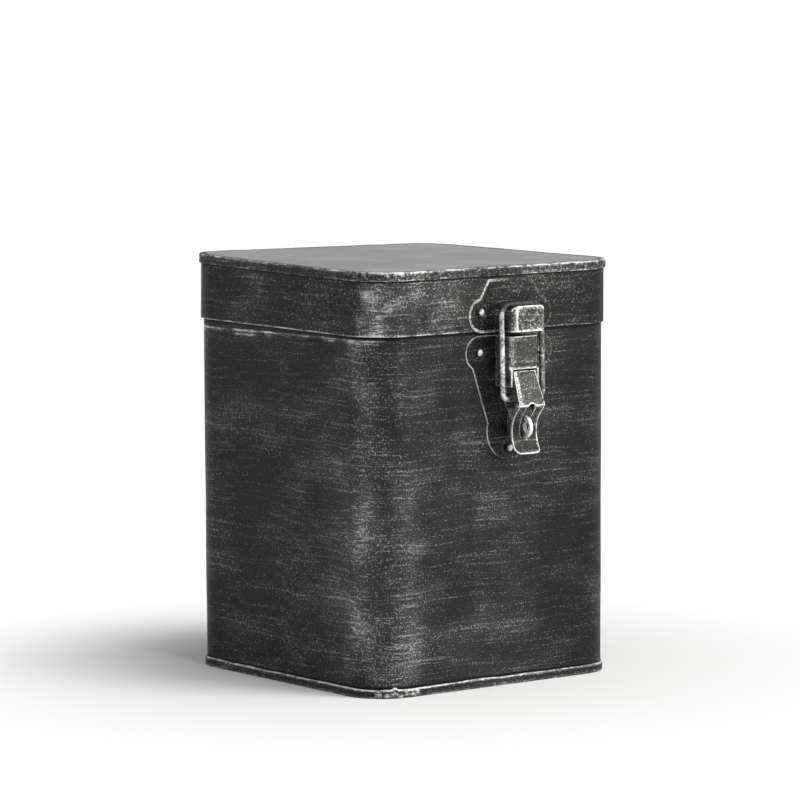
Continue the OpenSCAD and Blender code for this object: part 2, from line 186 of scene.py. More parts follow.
def girth(point):
    """Distance round the wall from the middle of the near corner, positive along the front."""
    inner = box_half - corner_r
    side = 2 * inner
    bend = pi * corner_r / 2
    normal = plan_normal(point)
    turn = atan2(normal.x, -normal.y)
    along = Vector((-normal.y, normal.x, 0))
    if abs(normal.x) < 1e-6 or abs(normal.y) < 1e-6:
        whole = bend / 2 + (side + bend) * round(turn / (pi / 2)) + inner + point.dot(along)
    else:
        whole = corner_r * (turn + pi / 4) + side * ceil(turn / (pi / 2))
    total = 4 * (side + bend)
    return (whole + total / 2) % total - total / 2


def hump(value, middle, width):
    """One at the middle, falling smoothly to nothing on both sides."""
    return exp(-((value - middle) / width) ** 2)


def uneven(point, across, up, shift=0.0):
    """Smooth unevenness of the sheet: how fast it changes across the plan and up the wall."""
    return noise.noise(Vector((point.x * across, point.y * across, point.z * up + shift)))


def back_left(point):
    """One at the back left corner, falling to nothing at the two corners beside it."""
    return clamped((box_half - point.x) / 150, 0, 1) * clamped((box_half + point.y) / 150, 0, 1)


def carry_round(section, long_cuts, bend_steps, capped=False):
    """Carries a section, drawn as (outwards, up, worn), once round the box."""
    mesh = bmesh.new()
    wear_and_painted_light = mesh.verts.layers.float.new("wear_and_painted_light")
    bmesh.ops.create_grid(mesh, x_segments=1, y_segments=1, size=box_half)
    bmesh.ops.bevel(mesh, geom=mesh.verts[:], offset=corner_r, segments=bend_steps,
                    profile=0.5, affect="VERTICES", material=-1)
    bmesh.ops.delete(mesh, geom=mesh.faces[:], context="FACES_ONLY")
    long_edges = [edge for edge in mesh.edges if edge.calc_length() > corner_r]
    bmesh.ops.subdivide_edges(mesh, edges=long_edges, cuts=long_cuts)
    first = mesh.edges[:]
    ring = first
    out, up = 0, 0
    for number, (next_out, next_up, wear_and_light_value) in enumerate(section):
        if number > 0:
            grown = bmesh.ops.extrude_edge_only(mesh, edges=ring)["geom"]
            ring = [part for part in grown if isinstance(part, bmesh.types.BMEdge)]
        ring_verts = {vert for edge in ring for vert in edge.verts}
        for vert in ring_verts:
            vert.co += plan_normal(vert.co) * (next_out - out)
            vert.co.z += next_up - up
            vert[wear_and_painted_light] = wear_and_light_value
        out, up = next_out, next_up
    if capped:
        bmesh.ops.edgeloop_fill(mesh, edges=first)
        bmesh.ops.edgeloop_fill(mesh, edges=ring)
    else:
        bmesh.ops.bridge_loops(mesh, edges=first + ring)
    return mesh


def finish_piece(mesh, name, body, nodes, materials, recalculate=True):
    """Turns millimetres into metres, makes the object, hangs it on its body and hides the imported nodes
    it stands in for.
    """
    sharp_angle = radians(35)
    bmesh.ops.scale(mesh, vec=(0.001, 0.001, 0.001), verts=mesh.verts)
    if recalculate:
        bmesh.ops.recalc_face_normals(mesh, faces=mesh.faces)
    for face in mesh.faces:
        face.smooth = True
    for edge in mesh.edges:
        edge.smooth = not edge.is_manifold or edge.calc_face_angle() < sharp_angle
    data = bpy.data.meshes.new(name)
    mesh.to_mesh(data)
    mesh.free()
    for material in materials:
        data.materials.append(material)
    piece = bpy.data.objects.new(name, data)
    bpy.context.scene.collection.objects.link(piece)
    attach(piece, body)
    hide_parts(*nodes)
    return piece


def stretched(tree, vector, factors):
    """A vector times three factors."""
    made = add_node(tree, "ShaderNodeVectorMath", operation="MULTIPLY")
    feed(tree, made.inputs[0], vector)
    feed(tree, made.inputs[1], factors)
    return made.outputs[0]


def grain(tree, vector, scale, detail, roughness=0.5):
    """Output of a three-dimensional Noise Texture."""
    made = add_node(tree, "ShaderNodeTexNoise")
    feed(tree, made.inputs["Vector"], vector)
    feed(tree, made.inputs["Scale"], scale)
    feed(tree, made.inputs["Detail"], detail)
    feed(tree, made.inputs["Roughness"], roughness)
    return made.outputs[0]


def blended(tree, factor, first, second):
    """Output of a colour Mix node."""
    made = add_node(tree, "ShaderNodeMix", data_type="RGBA")
    feed(tree, made.inputs[0], factor)
    feed(tree, made.inputs[6], first)
    feed(tree, made.inputs[7], second)
    return made.outputs[2]


def new_group(name, inputs, outputs):
    """An empty shader node group with its sockets."""
    group = bpy.data.node_groups.new(name, "ShaderNodeTree")
    for label, kind in inputs:
        group.interface.new_socket(name=label, in_out="INPUT", socket_type=kind)
    for label, kind in outputs:
        group.interface.new_socket(name=label, in_out="OUTPUT", socket_type=kind)
    return group, group.nodes.new("NodeGroupInput").outputs, group.nodes.new("NodeGroupOutput").inputs


# Silver that was brushed on nearly dry. It catches on the grain as fine specks, thicker in clouds
# and in thin level rows. Where its cover rises, specks and short strokes close up and brighten.
silver, given, result = new_group(
    "brushed_silver",
    [("Place", "NodeSocketVector"), ("Stretch", "NodeSocketVector"), ("Fineness", "NodeSocketFloat"),
     ("Flecks", "NodeSocketFloat"), ("Clouds", "NodeSocketFloat"), ("Cover", "NodeSocketFloat")],
    [("Silver", "NodeSocketFloat"), ("Tone", "NodeSocketFloat"), ("Height", "NodeSocketFloat")])
to_millimetres = (1000, 1000, 1000)
still = stretched(silver, given["Place"], to_millimetres)
sway = add_node(silver, "ShaderNodeCombineXYZ")
feed(silver, sway.inputs["Z"], maths(silver, "MULTIPLY", grain(silver, still, 0.03, 1), 5))
swayed = add_node(silver, "ShaderNodeVectorMath", operation="ADD")
feed(silver, swayed.inputs[0], still)
feed(silver, swayed.inputs[1], sway.outputs[0])
swayed = swayed.outputs[0]
cloud_noise = grain(silver, stretched(silver, swayed, (0.024, 0.024, 0.05)), 1, 5, 0.62)
clouds = between(silver, cloud_noise, 0.36, 0.7)
row_noise = grain(silver, stretched(silver, swayed, (0.03, 0.03, 1.1)), 1, 1)
rows = between(silver, row_noise, 0.5, 0.72)
upright_noise = grain(silver, stretched(silver, still, (0.7, 0.7, 0.05)), 1, 1)
uprights = between(silver, upright_noise, 0.5, 0.75)
laid = maths(silver, "ADD", clouds, maths(silver, "MULTIPLY", rows, 0.9))
laid = maths(silver, "ADD", laid, maths(silver, "MULTIPLY", uprights, 0.2))
laid = maths(silver, "MULTIPLY", laid, given["Clouds"])
cover = given["Cover"]
lowering = maths(silver, "ADD", laid, maths(silver, "MULTIPLY", cover, 0.26))
threshold = maths(silver, "SUBTRACT", 0.67, lowering)
full_at = maths(silver, "ADD", threshold, 0.11)
speck_noise = grain(silver, still, given["Fineness"], 1)
strength = between(silver, grain(silver, still, 0.6, 2), 0.3, 0.65, 0.4, 1)
specks = maths(silver, "MULTIPLY", between(silver, speck_noise, threshold, full_at), strength)
speck_gain = maths(silver, "ADD", maths(silver, "MULTIPLY", cover, 0.6), given["Flecks"])
stroke_noise = grain(silver, stretched(silver, swayed, given["Stretch"]), 1, 1.5)
strokes = between(silver, stroke_noise, threshold, full_at)
laid_gain = maths(silver, "MULTIPLY", laid, 0.25)
stroke_gain = maths(silver, "ADD", maths(silver, "MULTIPLY", cover, 0.7), laid_gain)
haze = maths(silver, "MULTIPLY", maths(silver, "MULTIPLY", laid, laid), 0.9)
whole = maths(silver, "MULTIPLY", specks, speck_gain)
whole = maths(silver, "ADD", whole, maths(silver, "MULTIPLY", strokes, stroke_gain))
whole = maths(silver, "ADD", whole, maths(silver, "MULTIPLY", cover, 0.27))
whole = maths(silver, "ADD", whole, haze)
whole = maths(silver, "MINIMUM", whole, 1)
feed(silver, result["Silver"], whole)
feed(silver, result["Tone"], clouds)
feed(silver, result["Height"], maths(silver, "ADD", maths(silver, "MULTIPLY", speck_noise, 0.6), whole))

# Paint that is worn off an edge: inside the sheet metal, a place close to a corner is closed in,
# and that mask is broken up by a coarse grain.
edge_group, given, result = new_group(
    "worn_edges", [("Place", "NodeSocketVector"), ("Width", "NodeSocketFloat")],
    [("Edge", "NodeSocketFloat")])
closed_in = add_node(edge_group, "ShaderNodeAmbientOcclusion", samples=8, inside=True, only_local=True)
feed(edge_group, closed_in.inputs["Distance"], given["Width"])
bare_edge = between(edge_group, closed_in.outputs["AO"], 0.95, 0.7)
edge_place = stretched(edge_group, given["Place"], to_millimetres)
edge_breaks = between(edge_group, grain(edge_group, edge_place, 0.7, 3, 0.6), 0.3, 0.6, 0.25, 1)
feed(edge_group, result["Edge"], maths(edge_group, "MULTIPLY", bare_edge, edge_breaks))


def paint_with_wear_and_light(name, paint, metal, flecks, clouds, fineness, stretch, roughness, shine,
               edge_width=0, edge_wear=0):
    """Satin paint with silver over it. A mesh's per-vertex values say how far it is rubbed through,
    in places with a painted highlight added (above zero), or darkened towards black as painted
    shade (below zero). Its edges can be rubbed as well."""
    material = bpy.data.materials.new(name)
    material.use_nodes = True
    tree = material.node_tree
    shader = tree.nodes["Principled BSDF"]
    place = add_node(tree, "ShaderNodeTexCoord").outputs["Object"]
    wear_and_light_value = add_node(tree, "ShaderNodeAttribute", attribute_name="wear_and_painted_light").outputs["Fac"]
    cover = maths(tree, "MAXIMUM", wear_and_light_value, 0)
    if edge_width > 0:
        edges = add_node(tree, "ShaderNodeGroup", node_tree=edge_group)
        feed(tree, edges.inputs["Place"], place)
        edges.inputs["Width"].default_value = edge_width
        cover = maths(tree, "ADD", cover, maths(tree, "MULTIPLY", edges.outputs["Edge"], edge_wear))
    silvered = add_node(tree, "ShaderNodeGroup", node_tree=silver)
    feed(tree, silvered.inputs["Place"], place)
    silvered.inputs["Stretch"].default_value = stretch
    silvered.inputs["Fineness"].default_value = fineness
    silvered.inputs["Flecks"].default_value = flecks
    silvered.inputs["Clouds"].default_value = clouds
    feed(tree, silvered.inputs["Cover"], maths(tree, "MINIMUM", cover, 1.2))
    dark = [part * 0.85 for part in paint] + [1]
    light = [part * 1.3 for part in paint] + [1]
    # Painted shade: below zero the paint and silver fade towards this near-black.
    shade_black = (0.001, 0.001, 0.001, 1)
    coat = blended(tree, silvered.outputs["Tone"], dark, light)
    unshaded = between(tree, wear_and_light_value, -1, 0)
    bare = maths(tree, "MULTIPLY", silvered.outputs["Silver"], unshaded)
    coloured = blended(tree, bare, coat, (*metal, 1))
    feed(tree, shader.inputs["Base Color"], blended(tree, unshaded, shade_black, coloured))
    feed(tree, shader.inputs["Metallic"], maths(tree, "MULTIPLY", bare, 0.4))
    gloss_change = between(tree, silvered.outputs["Tone"], 0, 1, roughness + 0.02, roughness - 0.02)
    feed(tree, shader.inputs["Roughness"], gloss_change)
    relief = add_node(tree, "ShaderNodeBump")
    relief.inputs["Distance"].default_value = 0.00005
    feed(tree, relief.inputs["Height"], silvered.outputs["Height"])
    feed(tree, shader.inputs["Normal"], relief.outputs[0])
    shader.inputs["Specular IOR Level"].default_value = shine
    return material


charcoal = (0.0125, 0.0122, 0.012)
old_silver = (0.62, 0.62, 0.62)
level_strokes = (0.16, 0.16, 1.15)
charcoal_sheet = paint_with_wear_and_light("charcoal_sheet", charcoal, old_silver, flecks=0.33, clouds=0.105,
                            fineness=1.4, stretch=level_strokes, roughness=0.5, shine=0.12)
# Each lump of the foot's rim: its place round the wall, height, half width and swell.
foot_lumps = [(0.6, 1.9, 1.5, 0.45), (4.4, 1.6, 1.2, 0.5), (7.6, 2.1, 1.7, 0.9),
              (10.6, 1.5, 1.4, 0.75), (13.8, 2.4, 1.3, 0.6), (17.2, 2.0, 1.7, 0.5),
              (20.6, 2.6, 1.3, 0.35)]
foot_section = [(-0.3, 0, 0), (0.55, 0, 0.1), (0.85, 0.15, 0.3), (0.95, 0.5, 0.35), (0.95, 1.2, 0.1),
                (0.9, 2.2, 0), (0.94, 3.1, 0.05), (0.93, 3.7, 0.5), (0.8, 4.1, 0.9), (0.5, 4.3, 0.9),
                (0.15, 4.3, 0.5), (-0.3, 4.2, 0)]
foot_mesh = carry_round(foot_section, 110, 36)
foot_wear_and_shade = foot_mesh.verts.layers.float["wear_and_painted_light"]
for vert in foot_mesh.verts:
    outward = plan_normal(vert.co)
    where = girth(vert.co)
    height = vert.co.z
    share = clamped(height / foot_rim_h, 0, 1)
    ripple = uneven(vert.co, 0.06, 0, 3)
    flutter = uneven(vert.co, 0.3, 0.3)
    vert.co.z += share * (0.4 * ripple + 0.15 * flutter + 1.2 * hump(where, 8.2, 1.2))
    vert.co -= outward * 0.7 * back_left(vert.co)
    vert[foot_wear_and_shade] *= 0.75 + 0.5 * flutter + 0.4 * hump(where, 10, 60)
    for lump_at, lump_z, lump_r, lump_h in foot_lumps:
        swell = hump(where, lump_at, lump_r) * hump(height, lump_z, 1.1)
        vert.co += outward * lump_h * swell
        vert[foot_wear_and_shade] += 1.1 * swell
    # Painted shade: between the lumps near the corner the rim is darkened towards black.
    if 0.3 < height < 3.6:
        vert[foot_wear_and_shade] -= 0.45 * hump(where, 11, 10)
    vert.co += outward * 0.1 * flutter * (height > 0.3)
flat_half = box_half - 1.5 * sheet_t
foot_sheet = bmesh.ops.create_grid(foot_mesh, x_segments=1, y_segments=1, size=flat_half)["verts"]
bmesh.ops.bevel(foot_mesh, geom=foot_sheet, offset=corner_r, segments=16, profile=0.5,
                affect="VERTICES", material=-1)
flat_face = max(foot_mesh.faces, key=lambda face: face.calc_area())
slab = bmesh.ops.extrude_face_region(foot_mesh, geom=[flat_face])["geom"]
slab_verts = [part for part in slab if isinstance(part, bmesh.types.BMVert)]
bmesh.ops.translate(foot_mesh, vec=(0, 0, sheet_t), verts=slab_verts)
finish_piece(foot_mesh, "foot_panel", "trunk_body", ["bottom_panel"], [charcoal_sheet])

# Body wall: one sheet of tin bent round four upright corners, lapped inside the back and
# hemmed inwards at the top of the neck that goes up inside the lid. Rubbed at the corners, and
# at the near corner a painted highlight is added to the rubbing. Painted shade darkens a line
# above the foot's rim, a band just under the lid's edge and the front right corner.
neck_top = 178
hem_foot = 173
lap_w = 5
back_bends = (-141.4, -282.8, 282.8)  # back left corner, and the back right one from both ends
# Painted shade: the first two rows, just above the foot's rim, are darkened.
wall_rows = [(0, 4.9, -0.9), (0, 5.5, -0.2)]
wall_rows += [(0, 6 + 5.3 * step, 0) for step in range(30)]
wall_rows += [(0, 164.4 + 0.45 * step, 0) for step in range(12)]
# Painted shade under the lid's edge: these rows are darkened towards black.
wall_rows += [(0, 170.3, -0.8), (0, 172.4, -1), (0, 174, 0)]
wall_section = ([(0, 0.6, 0)] + wall_rows + [(0, 177.6, 0.3), (-0.15, 177.9, 0.8), (-0.4, neck_top, 0.8)]
                + [(-0.8, neck_top, 0.8), (-1.05, 177.9, 0.8), (-1.2, 177.6, 0.3), (-1.2, hem_foot, 0.2)]
                + [(-0.6, hem_foot, 0), (-0.6, 120, 0), (-0.6, 60, 0), (-0.6, 0.6, 0)])


def add_lap(mesh, middle_y, low, high):
    """The lapped end of a wrapped sheet: an upright strip at the middle of the back."""
    strip = bmesh.ops.create_cube(mesh, size=1)["verts"]
    bmesh.ops.scale(mesh, vec=(lap_w, sheet_t, high - low), verts=strip)
    bmesh.ops.translate(mesh, vec=(0, middle_y, (low + high) / 2), verts=strip)
    return strip


wall_mesh = carry_round(wall_section, 90, 24)
wall_wear_and_painted_light = wall_mesh.verts.layers.float["wear_and_painted_light"]
for vert in wall_mesh.verts:
    outward = plan_normal(vert.co)
    where = girth(vert.co)
    height = vert.co.z
    level = uneven(vert.co, 0.03, 0.03)
    fine = uneven(vert.co, 0.1, 0.05)
    drift = 4 * noise.noise(Vector((9, 4, height * 0.03)))
    calm = clamped((168 - height) / 40, 0, 1)
    vert.co += outward * calm * clamped(height / 30, 0, 1) * (0.2 * level + 0.05)
    vert.co -= outward * 0.7 * back_left(vert.co) * clamped((165 - height) / 160, 0, 1)
    # Near the near corner the rubbing also stands in for a painted highlight.
    near_bend = 0.22 * hump(where, -7 + drift, 7) + 0.12 * hump(where, -15, 15)
    near_bend += 0.12 * hump(where, 15 - drift, 8) * clamped((120 - height) / 30, 0.1, 1)
    near_bend *= 0.45 + 0.55 * clamped((160 - height) / 22, 0, 1)
    near_bend += 0.06 * hump(where, 60, 40)
    other_bends = 0.15 * max(hump(where, at, 9) for at in back_bends)
    band = max(0, (near_bend + other_bends) * (0.85 + 1.1 * level + 0.8 * fine))
    line_at = 168 + 1.5 * clamped((where + 125) / 110, 0, 1) + 0.3 * level
    rub_line = 0.75 * hump(height, line_at, 0.55) * clamped(0.75 + fine * 1.2, 0.2, 1)
    rub_line += 0.5 * hump(height, line_at - 1.6 + level, 0.6) * clamped(0.3 + fine * 2.5, 0, 1)
    rub_line *= where < 4
    rub_line += 0.3 * hump(height, 165.5, 0.5) * hump(where, 27, 9)
    # Painted shade: the front right corner is darkened and its rubbing held back.
    far_corner_shade = 0.3 * clamped((where - 95) / 25, 0, 1) * clamped((175 - where) / 20, 0, 1)
    if 5.6 < height < 170 and vert[wall_wear_and_painted_light] > -0.1:
        vert[wall_wear_and_painted_light] = band + rub_line - far_corner_shade
    # Painted shade under the lid's edge: weaker along the left side.
    if 169.9 < height < 173:
        vert[wall_wear_and_painted_light] *= 0.55 + 0.45 * clamped((where + 40) / 30, 0, 1)
add_lap(wall_mesh, box_half - 1.5 * sheet_t, sheet_t, hem_foot)
finish_piece(wall_mesh, "wrapped_wall", "trunk_body", ["body_wall"], [charcoal_sheet])

# Lid's side: a second wrapped sheet that slides over the neck, lapped outside the back. Its
# raw lower edge is rubbed bright, and so is the whole near corner, where the rubbing also stands
# in for a painted highlight. Painted shade darkens a band just under the rim and the front right
# corner.
skirt_foot = 171.3
skirt_out = 1.1
box_h = 202


def lid_warp(point):
    """Moves a point of the lid up and outwards where the lid is bent at the back left corner."""
    share = clamped((point.z - skirt_foot) / (box_h - skirt_foot), 0, 1)
    lift = back_left(point) ** 1.3
    point.z += lift * (0.8 + 1.1 * share)
    point += plan_normal(point) * 0.4 * lift * (1 - share)


skirt_rows = [(skirt_out, z, 0) for z in (172.6, 174, 176, 179, 182, 185, 188, 191, 194, 195.6, 196.6)]
skirt_section = ([(0.5, 171.45, 0.3), (0.62, skirt_foot, 0.6), (0.9, skirt_foot, 0.9)]
                 + [(1.08, 171.42, 0.9), (1.12, 171.75, 0.5), (skirt_out, 172.1, 0.05)] + skirt_rows
                 # Painted shade under the rim: these rows are darkened towards black.
                 + [(skirt_out, 197, -0.8), (skirt_out, 199, -1), (skirt_out, 201.2, 0)]
                 + [(0.5, 201.2, 0), (0.5, 186, 0)])
skirt_mesh = carry_round(skirt_section, 110, 32)
skirt_wear_and_painted_light = skirt_mesh.verts.layers.float["wear_and_painted_light"]
for vert in skirt_mesh.verts:
    where = girth(vert.co)
    height = vert.co.z
    level = uneven(vert.co, 0.05, 0.05)
    fine = uneven(vert.co, 0.15, 0.15)
    # Near the near corner the rubbing also stands in for a painted highlight.
    near_bend = 0.28 * hump(where, -4, 9) + 0.14 * hump(where, 14, 12) + 0.1 * hump(where, 40, 25)
    other_bends = 0.15 * max(hump(where, at, 9) for at in back_bends)
    band = max(0, (near_bend + other_bends) * (0.95 + 1.1 * level + 1.1 * fine))
    # Painted shade: the front right corner is darkened.
    far_corner_shade = 0.25 * clamped((where - 105) / 25, 0, 1) * clamped((175 - where) / 20, 0, 1)
    if vert[skirt_wear_and_painted_light] >= 0:
        vert[skirt_wear_and_painted_light] = band + vert[skirt_wear_and_painted_light] * (0.75 + 0.6 * level + 0.6 * fine) - far_corner_shade
    lid_warp(vert.co)
for vert in add_lap(skirt_mesh, box_half + skirt_out + sheet_t / 2, 172.3, 197.6):
    lid_warp(vert.co)
finish_piece(skirt_mesh, "lid_side", "lid", ["lid_skirt"], [charcoal_sheet])

# Lid's top: a flat sheet laid on the side, its edge folded down over it and hammered into a
# lumpy rim. The rim is rubbed, most of all at the near corner, where the rubbing also stands in
# for a painted highlight, and the flat top is smoother.
top_paint = paint_with_wear_and_light("top_paint", charcoal, old_silver, flecks=0.13, clouds=0.07, fineness=1.4,
                       stretch=level_strokes, roughness=0.31, shine=0.33)
rim_section = [(-1.5, 201.3, 0), (0.9, 201.3, 0), (1.1, 201.1, 0), (1.1, 199, 0), (1.1, 197.9, 0.2),
               (1.35, 197.62, 0.4), (1.75, 197.6, 0.6), (2.02, 197.75, 0.5), (2.1, 198.2, 0.2),
               (2.05, 199, 0.1), (1.98, 199.8, 0.06), (2.06, 200.6, 0.15), (2.1, 201.2, 0.5),
               (1.98, 201.65, 0.9), (1.65, 201.9, 0.8), (1.2, 202, 0.35), (0.6, 202, 0.12),
               (-0.3, 201.97, 0.05), (-1.5, 201.9, 0)]
rim_mesh = carry_round(rim_section, 140, 40, capped=True)
rim_wear_and_highlight = rim_mesh.verts.layers.float["wear_and_painted_light"]
caps = sorted(rim_mesh.faces, key=lambda face: face.calc_area())[-2:]
top_face = max(caps, key=lambda face: face.calc_center_median().z)
top_geometry = [top_face] + list(top_face.edges) + list(top_face.verts)
for axis in (Vector((1, 0, 0)), Vector((0, 1, 0))):
    for step in range(-18, 19):
        cut = bmesh.ops.bisect_plane(rim_mesh, geom=top_geometry, plane_co=axis * step * 4,
                                     plane_no=axis)
        top_geometry = cut["geom"]
for part in top_geometry:
    if isinstance(part, bmesh.types.BMFace):
        part.material_index = 1
for vert in rim_mesh.verts:
    outward = plan_normal(vert.co)
    where = girth(vert.co)
    height = vert.co.z
    inside = box_half - max(abs(vert.co.x), abs(vert.co.y))
    near_bend = hump(where, 4, 22)
    if inside > 2:
        sag = uneven(vert.co, 0.018, 0, 1.7)
        vert.co.z += clamped((inside - 2) / 25, 0, 1) * (0.25 * sag - 0.15) * (height > 201.6)
    else:
        ripple = uneven(vert.co, 0.05, 0, 7)
        dents = uneven(vert.co, 0.22, 0.25)
        pits = uneven(vert.co, 0.6, 0.6)
        rim_share = clamped((2.1 - inside * 0.2) / 2, 0, 1)
        vert.co.z += rim_share * (0.15 * ripple + (0.08 + 0.15 * near_bend) * dents) - 0.1
        vert.co.z += rim_share * 0.6 * hump(where, 139, 6)
        if height < 201.95:
            vert.co += outward * (-0.1 + (0.12 + 0.15 * near_bend) * dents + 0.08 * pits)
        left_share = clamped((where + 60) / 50, 0.65, 1)
        rub = vert[rim_wear_and_highlight] * (0.7 + 0.5 * ripple + 0.5 * dents + 0.5 * pits) * left_share
        rub += 0.25 * hump(where, 116, 20) * (0.5 + 1.3 * pits)
        # At the near corner this rubbing also stands in for a painted highlight.
        rub += 0.35 * near_bend * (0.35 + 1.5 * pits)
        rub += 0.1 * hump(where, 60, 35) * (0.4 + 1.5 * pits)
        vert[rim_wear_and_highlight] = max(0, rub) * (vert[rim_wear_and_highlight] > 0.04)
    lid_warp(vert.co)
finish_piece(rim_mesh, "lid_cover", "lid", ["lid_top"], [charcoal_sheet, top_paint])

# Latch plates: flat pressed iron, two ears above and, on the body, a round foot below. Each is
# riveted through the sheet. The left of the outline is rubbed, and each rivet sits in a dimple
# whose ring is darkened as painted shade.
latch_x = 6
latch_place = Matrix.Translation((latch_x, -box_half, skirt_foot))
latch_place = latch_place @ Matrix.Rotation(radians(90), 4, "X")
plate_t = 0.9
plate_black = (0.011, 0.0108, 0.0106)
plate_silver = (0.68, 0.68, 0.67)
plate_paint = paint_with_wear_and_light("plate_paint", plate_black, plate_silver, flecks=0.36, clouds=0.1,
                         fineness=1.5, stretch=(0.6, 0.6, 0.9), roughness=0.45, shine=0.12,
                         edge_width=0.0004, edge_wear=0.15)


def half_outline(mesh, steps):
    """Draws half of an outline to the middle line: straight steps and turns about a centre."""
    facet = 6
    pen = mesh.verts.new((*steps[0], 0))
    for step in steps[1:]:
        if len(step) == 2:
            grown = bmesh.ops.extrude_vert_indiv(mesh, verts=[pen])["verts"]
            pen = grown[0]
            pen.co = Vector((*step, 0))
        else:
            centre_x, centre_y, turn = step
            grown = bmesh.ops.spin(mesh, geom=[pen], cent=(centre_x, centre_y, 0), axis=(0, 0, 1),
                                   angle=radians(turn), steps=max(4, int(abs(turn) / facet)))
            pen = [part for part in grown["geom_last"] if isinstance(part, bmesh.types.BMVert)][0]
    pen.co.x = 0


def plate_left(point):
    """Nothing in the middle of a plate, rising to one at its left side."""
    return clamped((-point.x - 6) / 7, 0, 1)


def dimpled_plate(steps, rivets, lift, worn_band):
    """A flat plate from half of its outline, with soft edges and a ring pressed round each rivet."""
    mesh = bmesh.new()
    wear_and_painted_light = mesh.verts.layers.float.new("wear_and_painted_light")
    half_outline(mesh, steps)
    bmesh.ops.mirror(mesh, geom=mesh.verts[:] + mesh.edges[:], axis="X", merge_dist=0.001)
    bmesh.ops.remove_doubles(mesh, verts=mesh.verts, dist=0.05)
    bmesh.ops.contextual_create(mesh, geom=mesh.edges[:])
    bmesh.ops.extrude_edge_only(mesh, edges=mesh.edges[:])
    face = max(mesh.faces, key=lambda face: face.calc_area())
    soft_edge = ((0.1, 0.16), (0.3, 0.12))
    straight_t = plate_t - sum(rise for width, rise in soft_edge)
    bmesh.ops.translate(mesh, vec=(0, 0, straight_t), verts=face.verts)
    for vert in mesh.verts:
        vert[wear_and_painted_light] = 0.15 + 0.85 * plate_left(vert.co)
    for width, rise in soft_edge:
        bmesh.ops.inset_region(mesh, faces=[face], thickness=width, depth=rise, use_even_offset=True)
    for width in (worn_band, 0.3):
        for vert in face.verts:
            vert[wear_and_painted_light] = 0.1 + (0.6 if vert.co.y > 14 else 0.45) * plate_left(vert.co)
        bmesh.ops.inset_region(mesh, faces=[face], thickness=width, use_even_offset=True)
    for vert in face.verts:
        vert[wear_and_painted_light] = 0.0
    cell = 0.6
    geometry = [face] + list(face.edges) + list(face.verts)
    for place_x, place_y in rivets:
        for axis, middle in ((Vector((1, 0, 0)), place_x), (Vector((0, 1, 0)), place_y)):
            for step in range(-8, 9):
                cut = bmesh.ops.bisect_plane(mesh, geom=geometry, plane_no=axis,
                                             plane_co=axis * (middle + step * cell))
                geometry = cut["geom"]
    flat_verts = [part for part in geometry if isinstance(part, bmesh.types.BMVert)]
    for vert in flat_verts:
        for place_x, place_y in rivets:
            away = (vert.co.xy - Vector((place_x, place_y))).length
            vert.co.z -= 0.34 * hump(away, 2.75, 0.55)
            # Painted shade: the ring round each rivet is darkened towards black.
            if away < 3.3:
                vert[wear_and_painted_light] = -0.7 * hump(away, 2.5, 0.6)
            else:
                vert[wear_and_painted_light] = max(vert[wear_and_painted_light], 0.1 * hump(away, 4.0, 0.5))
    bmesh.ops.translate(mesh, vec=(0, 0, lift), verts=mesh.verts)
    bmesh.ops.transform(mesh, matrix=latch_place, verts=mesh.verts)
    return mesh


strike_steps = [(0, 24.7), (13.6, 24.7), (18.89, 15.73), (17.2, 7.6, -168.2), (0, -0.7)]
strike_rivets = [(-18.4, 9.2), (18.4, 9.2)]
base_steps = [(0, -2.1), (18.2, -2.1), (18.2, -10.5, -149.3), (13.23, -44.35), (0, -48.3, -106.6)]
base_rivets = [(-18.4, -10.1), (18.4, -10.1), (0, -56.7)]
strike_mesh = dimpled_plate(strike_steps, strike_rivets, skirt_out, 0.7)
finish_piece(strike_mesh, "strike_plate_pressed", "lid", ["strike_plate"], [plate_paint])
base_mesh = dimpled_plate(base_steps, base_rivets, 0, 0.2)
finish_piece(base_mesh, "base_plate_pressed", "trunk_body", ["latch_base_plate"], [plate_paint])

# Latch rivets: soft steel, domed heads, hammered over a flat tail inside the sheet. Paint
# stays in the low places and the crowns are rubbed bright. The foot of each head, where it
# meets the plate, is darkened as painted shade.
rivet_metal = paint_with_wear_and_light("rivet_metal", (0.03, 0.0295, 0.029), (0.72, 0.72, 0.71), flecks=0.3,
                         clouds=0.1, fineness=1.6, stretch=(0.8, 0.8, 0.8), roughness=0.38,
                         shine=0.3)
tail_h = 0.7
shank_r = 1.1
head_r = 1.9
head_h = 1.1
grip = plate_t + sheet_t
rivet_section = [(0, -tail_h, 0), (1.5, -tail_h, 0), (1.6, -0.1, 0), (shank_r, 0, 0),
                 # Painted shade: the head's foot, where it meets the plate, is darkened.
                 (shank_r, grip, 0), (head_r, grip, -0.3), (head_r * 0.96, grip + head_h * 0.3, 0.1),
                 (head_r * 0.8, grip + head_h * 0.66, 0.5), (head_r * 0.5, grip + head_h * 0.9, 1.1),
                 (0, grip + head_h, 1.3)]


